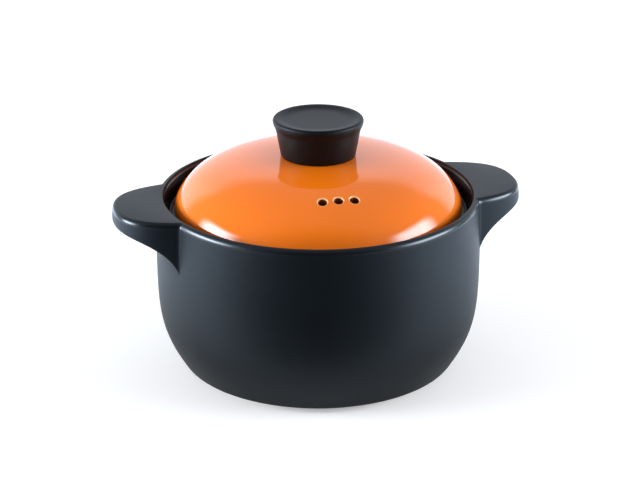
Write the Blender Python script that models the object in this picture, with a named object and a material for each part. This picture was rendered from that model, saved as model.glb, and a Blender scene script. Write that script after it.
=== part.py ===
"""Ceramic cooking pot: a cast pot with two lug handles and a loose domed lid with a screwed-on knob.

Lengths are in metres and angles in degrees. The origin is on the ground under the middle of the
pot, +X runs along the lug handles and +Z is up. The steam vents in the lid face -Y.
"""

import math

import bmesh
import bpy

# Clearances
SEAT_GAP = 0.0003               # between pieces that rest on or lie in each other
SCREW_CLEARANCE = 0.0003        # round the screw, in the washer, the gaskets and the insert

# Pot, outside
BODY_RADIUS = 0.1090            # at its widest
RIM_HEIGHT = 0.1195             # ground to the flat top of the rim
RIM_TAPER = 0.0012              # how much narrower the wall is at the rim
BELLY_HEIGHT = 0.0780           # ground to the widest line
BELLY_LEAD = 0.0409             # how far the wall runs on down before it turns in
CORNER_WIDTH = 0.0155           # how far it has come in where it ends, over the foot
CORNER_LEAD = 0.0267            # how far it runs straight to that end
CORNER_SLOPE = 58               # and how steeply
FOOT_HEIGHT = 0.0034            # standing ring under the body
FOOT_RADIUS = 0.0860
FOOT_WIDTH = 0.0082
FOOT_ROUND = 0.0011
BODY_LIP = 0.0014               # bevel where the body ends over the foot
BASE_RECESS = 0.0026            # hollow inside the standing ring

# Pot, inside
WALL = 0.0080
FLOOR_THICKNESS = 0.0076
INNER_CORNER_WIDTH = 0.029
INNER_CORNER_HEIGHT = 0.058     # ground to the top of the rounded corner
RIM_WALL = 0.0040               # wall at the rim, from the outside to the inner edge
RIM_CREST = 0.0002              # least width of the flat crest next to the inner edge
RIM_OUTER_ROUND = 0.0032        # width of the fall from the crest to the outside
RIM_OUTER_DROP = 0.0050         # and its height
RIM_INNER_ROUND = 0.0006
GALLERY_DEPTH = 0.0127          # rim down to the shelf that carries the lid
GALLERY_TAPER = 0.0038          # how much narrower the wall is at the shelf than at the rim
SHELF_WIDTH = 0.0120
SHELF_THICKNESS = 0.0060        # at the shelf's inner edge
SHELF_CORBEL = 0.0130           # height of the slope that carries the shelf
SHELF_ROUND = 0.0010

# Lug handles: a tongue in plan, with a hollow underside
LUG_PROJECTION = 0.0300         # beyond the wall
LUG_HALF_WIDTH = 0.0403         # where its sides start, inside the wall
LUG_START = 0.0107              # how far inside the wall they start, along X
LUG_SIDE_RUN = 0.0290           # length over which the sides run on before they turn in
LUG_SIDE_TAPER = 0.0053         # and how much they close in over that length
LUG_TIP_BLUNTNESS = 0.0240      # how long the tip keeps its full reach, to each side
LUG_CREASE = 0.0018             # fillet where the sides leave the wall
LUG_ROOT_DEPTH = 0.0355         # from the top down to the lug's foot on the wall
LUG_OUTER_DROP = 0.0042         # height of the round along the tip's upper edge
LUG_TIP_DEPTH = 0.0105          # thickness at the tip
LUG_ROOT_RISE = 0.0115          # how steeply the underside leaves the wall
LUG_ROOT_LEAN = 0.0030
LUG_TIP_RUN = 0.0168            # how flatly it reaches the tip
LUG_TIP_FALL = 0.0050
LUG_LOWER_ROUND = 0.0030
LUG_ROUND_SHARE = 0.42          # at most this much of a face goes into the lower round
LUG_LEAST_CURVE = 0.12          # share of the underside's curve that every column keeps

# Lid
LID_EDGE_GAP = 0.0037           # to the pot's wall, at the shelf
LID_RISE = 0.0386               # crown above the face that rests on the shelf
LID_EDGE_HEIGHT = 0.0044        # rounded edge, from that face up to the widest line
LID_EDGE_ROUND = 0.0040
DOME_SINK = 0.0010              # how far the dome's own centre lies below that face
DOME_PLAN_POWER = 3.40          # the dome is a superellipse: 2 and 2 would be an ellipse
DOME_RISE_POWER = 1.87
LID_WALL = 0.0055
SKIRT_GAP = 0.0015              # round the skirt, inside the shelf
SKIRT_DEPTH = 0.0076
SKIRT_WIDTH = 0.0045
SKIRT_ROUND = 0.0010
LID_BOSS_THICKNESS = 0.0075     # under the knob
LID_BOSS_RADIUS = 0.0120
LID_HOLE_RADIUS = 0.0040        # for the knob's screw
LID_TURN = -2.4                 # the lid lies a little off the middle of the pot
VENT_COUNT = 3
VENT_RADIUS = 0.0030
VENT_SPACING = 0.0103
VENT_DISTANCE = 0.0694          # from the lid's axis to the middle of the row
VENT_CHAMFER = 0.0009

# Knob
KNOB_HEIGHT = 0.0255            # foot to crest
KNOB_FOOT_RADIUS = 0.0248
KNOB_NECK_RADIUS = 0.0281
KNOB_NECK_HEIGHT = 0.0176
KNOB_LIP_RADIUS = 0.0301
KNOB_LIP_HEIGHT = 0.0235
KNOB_CREST_RADIUS = 0.0285
DISH_RADIUS = 0.0185            # flat floor of the dished top
DISH_DEPTH = 0.0016
DISH_LEAD = 0.6                 # how far the dish runs on flat, as a share of its rising edge
CREST_LEAD = 0.3                # and how early the crest is level
LIP_LEAD = 0.35                 # how straight the lip comes down, as a share of the way to the neck
NECK_EASE = 0.25                # and how far it still stands out above the neck
KNOB_WALL = 0.0036
KNOB_ROOF = 0.0045
KNOB_BOSS_RADIUS = 0.0085
KNOB_RIB_COUNT = 6
KNOB_RIB_WIDTH = 0.0024

# Knob fastening
GASKET_THICKNESS = 0.0015
GASKET_RADIUS = 0.0090
GASKET_SPIGOT = 0.0030          # collar that centres the screw in the lid's hole
INSERT_RADIUS = 0.0045
INSERT_LENGTH = 0.0120
INSERT_COLLAR = 0.0048          # length of each end, beside the groove that locks it in the knob
INSERT_GROOVE = 0.0006
WASHER_RADIUS = 0.0080
WASHER_THICKNESS = 0.0010
SOFT_EDGE = 0.25                # softened part of a washer's or gasket's thickness
SCREW_RADIUS = 0.0025
SCREW_POINT_RADIUS = 0.0015     # flat end of the screw, and flat face of its head
SCREW_ENGAGEMENT = 0.0080       # length of screw inside the insert
SCREW_HEAD_RADIUS = 0.0046
SCREW_HEAD_HEIGHT = 0.0032
CROSS_LENGTH = 0.0050
CROSS_WIDTH = 0.0011
CROSS_DEPTH = 0.0019
CROSS_TAPER = 0.25              # the recess narrows by this share on its way in

# Facets
LUG_COLUMNS = 13                # columns from a lug's tip to the end of its side
PLAIN_COLUMNS = 9               # and from there to the middle of the wall
LID_COLUMNS = 64
KNOB_COLUMNS = 48
SMALL_COLUMNS = 28
VENT_COLUMNS = 24
CORNER_STEPS = 9
FLOOR_STEPS = 6
RIM_STEPS = 4
EDGE_STEPS = 2
CURVE_STEPS = 12                # samples of the lug's underside, before it's spaced out evenly
UNDERSIDE_STEPS = 5
WALL_STEPS = 1
DOME_STEPS = 10
DOME_INNER_STEPS = 8
LID_EDGE_STEPS = 3
LIP_STEPS = 4
POCKET_STEPS = 6
HEAD_STEPS = 5
SHARP_ANGLE = 35                # edges sharper than this are shaded as edges

# Sizes that follow from the ones above
RIM_OUTER = BODY_RADIUS - RIM_TAPER
RIM_INNER = RIM_OUTER - RIM_WALL
SHELF_HEIGHT = RIM_HEIGHT - GALLERY_DEPTH
SHELF_OUTER = RIM_INNER - GALLERY_TAPER
SHELF_INNER = SHELF_OUTER - SHELF_WIDTH
LID_RADIUS = SHELF_OUTER - LID_EDGE_GAP
SKIRT_OUTER = SHELF_INNER - SKIRT_GAP
SKIRT_INNER = SKIRT_OUTER - SKIRT_WIDTH
LID_REST = SHELF_HEIGHT + SEAT_GAP
DOME_HEIGHT = LID_RISE + DOME_SINK


def bezier(start, start_handle, end_handle, end, t):
    """Point at t, from 0 to 1, on a cubic curve in the plane."""
    s = 1 - t
    weights = (s * s * s, 3 * s * s * t, 3 * s * t * t, t * t * t)
    corners = (start, start_handle, end_handle, end)
    return tuple(sum(w * c[axis] for w, c in zip(weights, corners)) for axis in range(2))


def solve(function, target, low, high):
    """Argument between low and high at which a rising function reaches the target."""
    for _ in range(50):
        middle = (low + high) / 2
        if function(middle) < target:
            low = middle
        else:
            high = middle
    return (low + high) / 2


def quarter(centre, width, height, start, end, steps):
    """Points on an ellipse's arc about a centre, between two angles in degrees."""
    points = []
    for i in range(steps + 1):
        angle = math.radians(start + (end - start) * i / steps)
        points.append((centre[0] + width * math.cos(angle), centre[1] + height * math.sin(angle)))
    return points


def along(path, distance):
    """Point at a distance along an open path."""
    for a, b in zip(path, path[1:]):
        length = math.dist(a, b)
        if distance <= length and length > 0:
            t = distance / length
            return (a[0] + (b[0] - a[0]) * t, a[1] + (b[1] - a[1]) * t)
        distance -= length
    return path[-1]


def principled(name, colour, roughness, metallic=0.0):
    """Plain material with one colour."""
    material = bpy.data.materials.new(name)
    material.use_nodes = True
    shader = material.node_tree.nodes["Principled BSDF"]
    shader.inputs["Base Color"].default_value = (*colour, 1)
    shader.inputs["Roughness"].default_value = roughness
    shader.inputs["Metallic"].default_value = metallic
    return material


def add_object(name, mesh, material, parent, height):
    """Object at a height above its parent, shaded smooth across soft edges."""
    mesh.shade_smooth()
    mesh.set_sharp_from_angle(angle=math.radians(SHARP_ANGLE))
    thing = bpy.data.objects.new(name, mesh)
    thing.data.materials.append(material)
    bpy.context.scene.collection.objects.link(thing)
    thing.parent = parent
    thing.location.z = height
    return thing


def column_mesh(name, columns, azimuths, ring=False):
    """Mesh from one section per azimuth. An open section's two ends become flat faces, and a
    ring's section closes on itself round a hole."""
    work = bmesh.new()
    grid = []
    for azimuth, section in zip(azimuths, columns):
        direction = (math.cos(azimuth), math.sin(azimuth))
        grid.append([work.verts.new((r * direction[0], r * direction[1], z)) for r, z in section])
    count = len(columns[0])
    for left, right in zip(grid, grid[1:] + grid[:1]):
        for i in range(count if ring else count - 1):
            j = (i + 1) % count
            work.faces.new((left[i], left[j], right[j], right[i]))
    if not ring:
        work.faces.new([column[0] for column in grid])
        work.faces.new([column[-1] for column in grid])
    bmesh.ops.recalc_face_normals(work, faces=work.faces)
    mesh = bpy.data.meshes.new(name)
    work.to_mesh(mesh)
    work.free()
    return mesh


def turned_mesh(name, section, count, ring=False):
    """Mesh turned from one section about the Z axis."""
    azimuths = [2 * math.pi * i / count for i in range(count)]
    return column_mesh(name, [section] * count, azimuths, ring)


def prism_mesh(name, outlines):
    """Solid through outlines that each give the same number of points, at rising heights."""
    work = bmesh.new()
    rings = [[work.verts.new(point) for point in outline] for outline in outlines]
    for lower, upper in zip(rings, rings[1:]):
        for i in range(len(lower)):
            j = (i + 1) % len(lower)
            work.faces.new((lower[i], lower[j], upper[j], upper[i]))
    work.faces.new(rings[0])
    work.faces.new(rings[-1])
    bmesh.ops.recalc_face_normals(work, faces=work.faces)
    mesh = bpy.data.meshes.new(name)
    work.to_mesh(mesh)
    work.free()
    return mesh


def cut(thing, cutter):
    """Subtract a cutter, which is kept as a guide."""
    cutter.hide_render = True
    cutter.display_type = "WIRE"
    modifier = thing.modifiers.new(cutter.name, "BOOLEAN")
    modifier.operation = "DIFFERENCE"
    modifier.object = cutter


# Pot


def lug_plan(t):
    """Point of a lug's outline in plan, from inside the wall at 0 to the tip at 1."""
    start = (RIM_OUTER - LUG_START, LUG_HALF_WIDTH)
    side = (start[0] + LUG_SIDE_RUN, start[1] - LUG_SIDE_TAPER)
    reach = RIM_OUTER + LUG_PROJECTION
    return bezier(start, side, (reach, LUG_TIP_BLUNTNESS), (reach, 0), t)


def lug_standout(t):
    """How far the outline stands out from the wall, below 0 inside it."""
    return math.hypot(*lug_plan(t)) - RIM_OUTER


def wall_azimuths():
    """Azimuth and lug projection of each column of the pot, all the way round."""
    first = solve(lug_standout, -LUG_CREASE, 0, 1)
    quarter_turn = []
    for i in range(LUG_COLUMNS + 1):
        t = 1 + (first - 1) * math.sin(math.pi / 2 * i / LUG_COLUMNS)
        x, y = lug_plan(t)
        standout = lug_standout(t)
        if standout < LUG_CREASE:
            standout = (standout + LUG_CREASE) ** 2 / (4 * LUG_CREASE)
        quarter_turn.append((math.atan2(y, x), standout))
    side_end = quarter_turn[-1][0]
    for i in range(1, PLAIN_COLUMNS + 1):
        quarter_turn.append((side_end + (math.pi / 2 - side_end) * i / PLAIN_COLUMNS, 0.0))
    half_turn = quarter_turn + [(math.pi - a, p) for a, p in reversed(quarter_turn[:-1])]
    return half_turn + [(2 * math.pi - a, p) for a, p in reversed(half_turn[1:-1])]


def wall_radius(height):
    """Outside of the wall from its widest line up."""
    share = (height - BELLY_HEIGHT) / (RIM_HEIGHT - BELLY_HEIGHT)
    return BODY_RADIUS - RIM_TAPER * share * share


def lug_underside(t):
    """Distance from the wall and depth below the rim, from the wall at 0 to the tip at 1."""
    root = (0, LUG_ROOT_DEPTH)
    rise = (LUG_ROOT_LEAN, LUG_ROOT_DEPTH - LUG_ROOT_RISE)
    tip = (LUG_PROJECTION, LUG_TIP_DEPTH)
    flat = (LUG_PROJECTION - LUG_TIP_RUN, LUG_TIP_DEPTH + LUG_TIP_FALL)
    return bezier(root, rise, flat, tip, t)


def pot_inside():
    """Section from the floor's edge up to the inner edge of the rim."""
    inner = BODY_RADIUS - WALL
    floor = BASE_RECESS + FLOOR_THICKNESS
    corner = (inner - INNER_CORNER_WIDTH, INNER_CORNER_HEIGHT)
    section = quarter(corner, INNER_CORNER_WIDTH, INNER_CORNER_HEIGHT - floor, -90, 0, FLOOR_STEPS)
    shelf_under = SHELF_HEIGHT - SHELF_THICKNESS
    section += [(inner, shelf_under - SHELF_CORBEL), (SHELF_INNER, shelf_under)]
    turn = (SHELF_INNER + SHELF_ROUND, SHELF_HEIGHT - SHELF_ROUND)
    section += quarter(turn, SHELF_ROUND, SHELF_ROUND, 180, 90, EDGE_STEPS)
    section += [(SHELF_OUTER - SHELF_ROUND, SHELF_HEIGHT), (SHELF_OUTER, SHELF_HEIGHT + SHELF_ROUND)]
    turn = (RIM_INNER + RIM_INNER_ROUND, RIM_HEIGHT - RIM_INNER_ROUND)
    section += quarter(turn, RIM_INNER_ROUND, RIM_INNER_ROUND, 180, 90, EDGE_STEPS)
    return section


def pot_outside(projection, slant):
    """Section from the rim's top down to the widest line, where the wall or a lug stands out by
    projection. slant widens the round where the edge runs at an angle."""
    drop = RIM_OUTER_DROP + (LUG_OUTER_DROP - RIM_OUTER_DROP) * projection / LUG_PROJECTION
    side = wall_radius(RIM_HEIGHT - drop) + projection
    room = side - RIM_INNER - RIM_INNER_ROUND - RIM_CREST
    width = min(RIM_OUTER_ROUND * slant, room)
    turn = (side - width, RIM_HEIGHT - drop)
    section = quarter(turn, width, drop, 90, 0, RIM_STEPS)

    end = max(LUG_LEAST_CURVE, solve(lambda t: lug_underside(t)[0], projection, 0, 1))
    stretch = projection / lug_underside(end)[0]
    path = []
    for i in range(CURVE_STEPS + 1):
        out, depth = lug_underside(end * (1 - i / CURVE_STEPS))
        path.append((wall_radius(RIM_HEIGHT - depth) + out * stretch, RIM_HEIGHT - depth))
    corner = path[0]
    length = sum(math.dist(a, b) for a, b in zip(path, path[1:]))
    small = min(LUG_LOWER_ROUND, (turn[1] - corner[1]) * LUG_ROUND_SHARE, length * LUG_ROUND_SHARE)
    above = (wall_radius(corner[1] + small) + projection, corner[1] + small)
    below = along(path, small)
    middle = (turn[1] + above[1]) / 2
    section.append((wall_radius(middle) + projection, middle))
    for t in (0, 1 / 3, 2 / 3, 1):
        section.append(bezier(above, corner, corner, below, t))
    for i in range(1, UNDERSIDE_STEPS + 1):
        section.append(along(path, small + (length - small) * i / UNDERSIDE_STEPS))
    root = RIM_HEIGHT - LUG_ROOT_DEPTH
    for i in range(1, WALL_STEPS + 1):
        height = root + (BELLY_HEIGHT - root) * i / WALL_STEPS
        section.append((wall_radius(height), height))
    return section


def pot_foot():
    """Section from below the widest line, round the corner and under the standing ring."""
    belly = (BODY_RADIUS, BELLY_HEIGHT)
    below = (BODY_RADIUS, BELLY_HEIGHT - BELLY_LEAD)
    end = (BODY_RADIUS - CORNER_WIDTH, FOOT_HEIGHT + BODY_LIP)
    slope = math.radians(CORNER_SLOPE)
    above = (end[0] + CORNER_LEAD * math.cos(slope), end[1] + CORNER_LEAD * math.sin(slope))
    section = [bezier(belly, below, above, end, i / CORNER_STEPS) for i in range(1, CORNER_STEPS + 1)]
    section.append((end[0] - BODY_LIP, FOOT_HEIGHT))
    section.append((FOOT_RADIUS, FOOT_HEIGHT - BODY_LIP))
    section += [(FOOT_RADIUS, FOOT_ROUND), (FOOT_RADIUS - FOOT_ROUND, 0)]
    inner = FOOT_RADIUS - FOOT_WIDTH
    section += [(inner + FOOT_ROUND, 0), (inner, FOOT_ROUND), (inner, BASE_RECESS)]
    return section


def make_pot(material):
    columns = []
    azimuths = wall_azimuths()
    inside = pot_inside()
    foot = pot_foot()
    for i, (azimuth, projection) in enumerate(azimuths):
        before = azimuths[i - 1]
        after = azimuths[(i + 1) % len(azimuths)]
        turn = (after[0] - before[0]) % (2 * math.pi)
        slope = (after[1] - before[1]) / (turn * (RIM_OUTER + projection))
        columns.append(inside + pot_outside(projection, math.hypot(1, slope)) + foot)
    mesh = column_mesh("pot_body", columns, [azimuth for azimuth, _ in azimuths])
    return add_object("pot_body", mesh, material, None, 0)


# Lid, with heights above the face that rests on the shelf


def dome_plan_radius():
    """Radius at which the dome's curve would stand upright."""
    share = ((LID_EDGE_HEIGHT + DOME_SINK) / DOME_HEIGHT) ** DOME_RISE_POWER
    return LID_RADIUS / (1 - share) ** (1 / DOME_PLAN_POWER)


def dome_height(radius, inset=0.0):
    """Height of the dome at a radius, outside, or inside with the wall as inset."""
    share = (radius / (dome_plan_radius() - inset)) ** DOME_PLAN_POWER
    return (DOME_HEIGHT - inset) * (1 - share) ** (1 / DOME_RISE_POWER) - DOME_SINK


def knob_seat_height():
    """The dome is levelled under the knob."""
    return dome_height(KNOB_FOOT_RADIUS)


def dome_section(inner, outer, steps, inset=0.0):
    """Dome between two radii, closer together towards the steep edge."""
    section = []
    for i in range(steps + 1):
        share = math.sin(math.pi / 2 * i / steps)
        radius = inner + (outer - inner) * share
        section.append((radius, dome_height(radius, inset)))
    return section


def lid_section():
    """Closed section of the lid, from the screw's hole over the dome and back underneath."""
    seat = knob_seat_height()
    section = [(LID_HOLE_RADIUS, seat)]
    section += dome_section(KNOB_FOOT_RADIUS, LID_RADIUS, DOME_STEPS)
    turn = (LID_RADIUS - LID_EDGE_ROUND, LID_EDGE_HEIGHT)
    section += quarter(turn, LID_EDGE_ROUND, LID_EDGE_HEIGHT, 0, -90, LID_EDGE_STEPS)[1:]
    section += [(SKIRT_OUTER + SKIRT_ROUND, 0), (SKIRT_OUTER, -SKIRT_ROUND)]
    section += [(SKIRT_OUTER, SKIRT_ROUND - SKIRT_DEPTH), (SKIRT_OUTER - SKIRT_ROUND, -SKIRT_DEPTH)]
    section += [(SKIRT_INNER + SKIRT_ROUND, -SKIRT_DEPTH), (SKIRT_INNER, SKIRT_ROUND - SKIRT_DEPTH)]
    under = seat - LID_BOSS_THICKNESS
    fall = dome_height(LID_BOSS_RADIUS, LID_WALL) - under
    section += reversed(dome_section(LID_BOSS_RADIUS + fall, SKIRT_INNER, DOME_INNER_STEPS, LID_WALL))
    section += [(LID_BOSS_RADIUS, under), (LID_HOLE_RADIUS, under)]
    return section


def vent_places():
    """Middle of each vent on the dome, in plan."""
    first = -(VENT_COUNT - 1) / 2 * VENT_SPACING
    return [(first + i * VENT_SPACING, -VENT_DISTANCE) for i in range(VENT_COUNT)]


def make_lid(group, material):
    mesh = turned_mesh("lid", lid_section(), LID_COLUMNS, ring=True)
    lid = add_object("lid", mesh, material, group, 0)
    lid.rotation_euler.z = math.radians(LID_TURN)
    for i, (x, y) in enumerate(vent_places()):
        distance = math.hypot(x, y)
        surface = dome_height(distance)
        slope = surface - dome_height(distance + VENT_RADIUS)
        low = dome_height(distance, LID_WALL) - 2 * VENT_RADIUS
        high = surface + 2 * VENT_RADIUS
        bore = [(VENT_RADIUS, low), (VENT_RADIUS, high)]
        mesh = turned_mesh("vent_cutter", bore, VENT_COLUMNS)
        cutter = add_object(f"vent_cutter_{i + 1}", mesh, material, lid, 0)
        cutter.location = (x, y, 0)
        cut(lid, cutter)
        deep = 2 * VENT_CHAMFER
        mouth = [(VENT_RADIUS + VENT_CHAMFER + deep, deep), (VENT_RADIUS + VENT_CHAMFER - deep, -deep)]
        mesh = turned_mesh("vent_mouth", mouth, VENT_COLUMNS)
        cone = add_object(f"vent_mouth_{i + 1}", mesh, material, lid, 0)
        cone.location = (x, y, surface)
        tilt = math.atan2(slope, VENT_RADIUS)
        cone.rotation_euler = (0, tilt, math.atan2(y, x))
        cut(lid, cone)
    return lid


# Knob, with heights above its foot


def knob_section():
    """Section of the knob's outside, from the edge of its dished top down to its foot."""
    section = [(DISH_RADIUS, KNOB_HEIGHT - DISH_DEPTH)]
    edge = KNOB_CREST_RADIUS - DISH_RADIUS
    bowl = (DISH_RADIUS + edge * DISH_LEAD, KNOB_HEIGHT - DISH_DEPTH)
    brim = (KNOB_CREST_RADIUS - edge * CREST_LEAD, KNOB_HEIGHT)
    crest = (KNOB_CREST_RADIUS, KNOB_HEIGHT)
    section += [bezier(section[0], bowl, brim, crest, t) for t in (1 / 3, 2 / 3, 1)]
    lip = (KNOB_CREST_RADIUS, KNOB_LIP_HEIGHT)
    lip_width = KNOB_LIP_RADIUS - KNOB_CREST_RADIUS
    section += quarter(lip, lip_width, KNOB_HEIGHT - KNOB_LIP_HEIGHT, 90, 0, LIP_STEPS)[1:]
    neck = (KNOB_NECK_RADIUS, KNOB_NECK_HEIGHT)
    fall = KNOB_LIP_HEIGHT - KNOB_NECK_HEIGHT
    turn = (KNOB_LIP_RADIUS, KNOB_LIP_HEIGHT - fall * LIP_LEAD)
    ease_out = (KNOB_LIP_RADIUS - KNOB_NECK_RADIUS) * NECK_EASE
    ease = (KNOB_NECK_RADIUS + ease_out, KNOB_NECK_HEIGHT + fall * LIP_LEAD)
    section += [bezier(section[-1], turn, ease, neck, (i + 1) / LIP_STEPS) for i in range(LIP_STEPS)]
    section.append((KNOB_FOOT_RADIUS, 0))
    return section


def boss_foot():
    """Height of the knob's inner boss, which stands on the gasket."""
    return GASKET_THICKNESS + SEAT_GAP


def pocket_outline(middle, height):
    """Outline, at one height, of a pocket between two ribs."""
    share = height / KNOB_NECK_HEIGHT
    outer = KNOB_FOOT_RADIUS + (KNOB_NECK_RADIUS - KNOB_FOOT_RADIUS) * share - KNOB_WALL
    outline = []
    for radius, order in ((outer, 1), (KNOB_BOSS_RADIUS, -1)):
        half = math.pi / KNOB_RIB_COUNT - math.asin(KNOB_RIB_WIDTH / 2 / radius)
        for i in range(POCKET_STEPS + 1):
            angle = middle + order * half * (2 * i / POCKET_STEPS - 1)
            outline.append((radius * math.cos(angle), radius * math.sin(angle), height))
    return outline


def make_knob(group, material, foot):
    knob = add_object("knob", turned_mesh("knob", knob_section(), KNOB_COLUMNS), material, group, foot)
    roof = KNOB_HEIGHT - DISH_DEPTH - KNOB_ROOF
    for i in range(KNOB_RIB_COUNT):
        middle = 2 * math.pi * (i + 0.5) / KNOB_RIB_COUNT
        outlines = [pocket_outline(middle, height) for height in (-KNOB_WALL, roof)]
        mesh = prism_mesh("knob_pocket", outlines)
        cut(knob, add_object(f"knob_pocket_{i + 1}", mesh, material, group, foot))
    reach = KNOB_BOSS_RADIUS + KNOB_RIB_WIDTH
    relief = turned_mesh("knob_relief", [(reach, boss_foot()), (reach, -KNOB_WALL)], SMALL_COLUMNS)
    cut(knob, add_object("knob_relief", relief, material, group, foot))
    bore_radius = INSERT_RADIUS + SEAT_GAP
    bore_top = boss_foot() + INSERT_LENGTH + SEAT_GAP
    bore_section = [(bore_radius, bore_top), (bore_radius, -KNOB_WALL)]
    bore = turned_mesh("insert_bore", bore_section, SMALL_COLUMNS)
    cut(knob, add_object("insert_bore", bore, material, group, foot))
    return knob


# Fastening, each piece with heights from its own lower face


def make_insert(group, material, foot):
    inner = SCREW_RADIUS + SCREW_CLEARANCE
    length = INSERT_LENGTH
    waist = INSERT_RADIUS - INSERT_GROOVE
    edge = INSERT_GROOVE
    section = [(inner, length), (INSERT_RADIUS - edge, length), (INSERT_RADIUS, length - edge)]
    section += [(INSERT_RADIUS, length - INSERT_COLLAR), (waist, length - INSERT_COLLAR - edge)]
    section += [(waist, INSERT_COLLAR + edge), (INSERT_RADIUS, INSERT_COLLAR)]
    section += [(INSERT_RADIUS, 0), (inner + edge, 0), (inner, edge)]
    mesh = turned_mesh("knob_insert", section, SMALL_COLUMNS, ring=True)
    return add_object("knob_insert", mesh, material, group, foot)


def make_flat_ring(name, group, material, foot, radius, thickness):
    """Flat washer or gasket with softened outer edges."""
    inner = SCREW_RADIUS + SCREW_CLEARANCE
    soft = thickness * SOFT_EDGE
    section = [(inner, thickness), (radius - soft, thickness), (radius, thickness - soft)]
    section += [(radius, soft), (radius - soft, 0), (inner, 0)]
    mesh = turned_mesh(name, section, SMALL_COLUMNS, ring=True)
    return add_object(name, mesh, material, group, foot)


def make_screw_gasket(group, material, foot):
    inner = SCREW_RADIUS + SCREW_CLEARANCE
    collar = LID_HOLE_RADIUS - SEAT_GAP
    soft = GASKET_THICKNESS * SOFT_EDGE
    top = GASKET_THICKNESS + GASKET_SPIGOT
    section = [(inner, top), (collar, top), (collar, GASKET_THICKNESS)]
    section += [(GASKET_RADIUS - soft, GASKET_THICKNESS), (GASKET_RADIUS, GASKET_THICKNESS - soft)]
    section += [(GASKET_RADIUS, soft), (GASKET_RADIUS - soft, 0), (inner, 0)]
    mesh = turned_mesh("screw_gasket", section, SMALL_COLUMNS, ring=True)
    return add_object("screw_gasket", mesh, material, group, foot)


def make_screw(group, material, head_top, tip):
    """Pan-head screw whose head's upper face and tip are at these heights."""
    length = tip - head_top
    point = SCREW_POINT_RADIUS
    section = [(point, length), (SCREW_RADIUS, length - (SCREW_RADIUS - point)), (SCREW_RADIUS, 0)]
    section += [(SCREW_HEAD_RADIUS, 0)]
    section += quarter((point, 0), SCREW_HEAD_RADIUS - point, SCREW_HEAD_HEIGHT, 0, -90, HEAD_STEPS)[1:]
    mesh = turned_mesh("knob_screw", section, SMALL_COLUMNS)
    screw = add_object("knob_screw", mesh, material, group, head_top)
    for i in range(2):
        outlines = []
        for side in (-1, 1):
            height = side * CROSS_DEPTH - SCREW_HEAD_HEIGHT
            x = CROSS_LENGTH / 2 * (1 - side * CROSS_TAPER)
            y = CROSS_WIDTH / 2 * (1 - side * CROSS_TAPER)
            outlines.append([(-x, -y, height), (x, -y, height), (x, y, height), (-x, y, height)])
        mesh = prism_mesh("cross_cutter", outlines)
        blade = add_object(f"cross_cutter_{i + 1}", mesh, material, screw, 0)
        blade.rotation_euler.z = math.radians(90 * i)
        cut(screw, blade)
    return screw


def main():
    for thing in list(bpy.data.objects):
        bpy.data.objects.remove(thing)
    stoneware = principled("matt_graphite_stoneware", (0.018, 0.021, 0.026), 0.5)
    glaze = principled("orange_glaze", (0.9, 0.17, 0.015), 0.08)
    phenolic = principled("black_phenolic", (0.012, 0.011, 0.011), 0.3)
    brass = principled("brass", (0.75, 0.55, 0.25), 0.35, 1)
    silicone = principled("clear_silicone", (0.6, 0.6, 0.58), 0.5)
    steel = principled("stainless_steel", (0.6, 0.6, 0.6), 0.3, 1)

    make_pot(stoneware)
    lid_group = bpy.data.objects.new("lid_group", None)
    lid_group.location.z = LID_REST
    bpy.context.scene.collection.objects.link(lid_group)
    make_lid(lid_group, glaze)

    seat = knob_seat_height()
    knob_foot = seat + SEAT_GAP
    make_knob(lid_group, phenolic, knob_foot)
    make_flat_ring("knob_gasket", lid_group, silicone, knob_foot, GASKET_RADIUS, GASKET_THICKNESS)
    insert_foot = knob_foot + boss_foot()
    make_insert(lid_group, brass, insert_foot)

    lower_gasket = seat - LID_BOSS_THICKNESS - SEAT_GAP - GASKET_THICKNESS
    make_screw_gasket(lid_group, silicone, lower_gasket)
    washer = lower_gasket - SEAT_GAP - WASHER_THICKNESS
    make_flat_ring("screw_washer", lid_group, steel, washer, WASHER_RADIUS, WASHER_THICKNESS)
    make_screw(lid_group, steel, washer - SEAT_GAP, insert_foot + SCREW_ENGAGEMENT)


main()
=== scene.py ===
"""Looks of the ceramic cooking pot: fine meshes, glazes, studio light and the camera.

Lengths are in metres and angles in degrees, in the CAD model's frame: the origin is on the ground
under the middle of the pot, +X runs along the lug handles, +Z is up and the steam vents face -Y.
"""

import math

import bmesh
import bpy
from mathutils import Matrix, Vector
from mathutils.geometry import delaunay_2d_cdt

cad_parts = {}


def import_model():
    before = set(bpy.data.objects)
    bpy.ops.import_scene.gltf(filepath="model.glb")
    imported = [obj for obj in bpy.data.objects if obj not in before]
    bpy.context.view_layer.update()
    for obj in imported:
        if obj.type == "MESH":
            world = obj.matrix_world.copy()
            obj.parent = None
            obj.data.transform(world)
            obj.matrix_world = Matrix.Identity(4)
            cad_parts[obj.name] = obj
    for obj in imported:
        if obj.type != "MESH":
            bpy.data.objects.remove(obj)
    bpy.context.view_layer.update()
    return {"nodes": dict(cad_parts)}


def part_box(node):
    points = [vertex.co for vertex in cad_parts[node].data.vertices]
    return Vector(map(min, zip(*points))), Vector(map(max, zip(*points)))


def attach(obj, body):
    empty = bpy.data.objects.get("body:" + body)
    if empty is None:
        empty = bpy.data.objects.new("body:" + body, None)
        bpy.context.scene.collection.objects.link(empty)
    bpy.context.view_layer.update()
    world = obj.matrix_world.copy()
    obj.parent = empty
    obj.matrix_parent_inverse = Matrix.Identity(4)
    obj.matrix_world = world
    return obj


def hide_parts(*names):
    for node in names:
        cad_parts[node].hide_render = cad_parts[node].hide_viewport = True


# Camera, in a frame turned with the view: X to the right, Y away from the camera
VIEW_TURN = 13.1                # the pot stands this far round, anticlockwise
VIEW_ELEVATION = 21.744
VIEW_DISTANCE = 1.3668
VIEW_TARGET = (0.0012, 0.0290, 0.0727)
SENSOR_WIDTH = 36               # this and the next in millimetres
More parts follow.
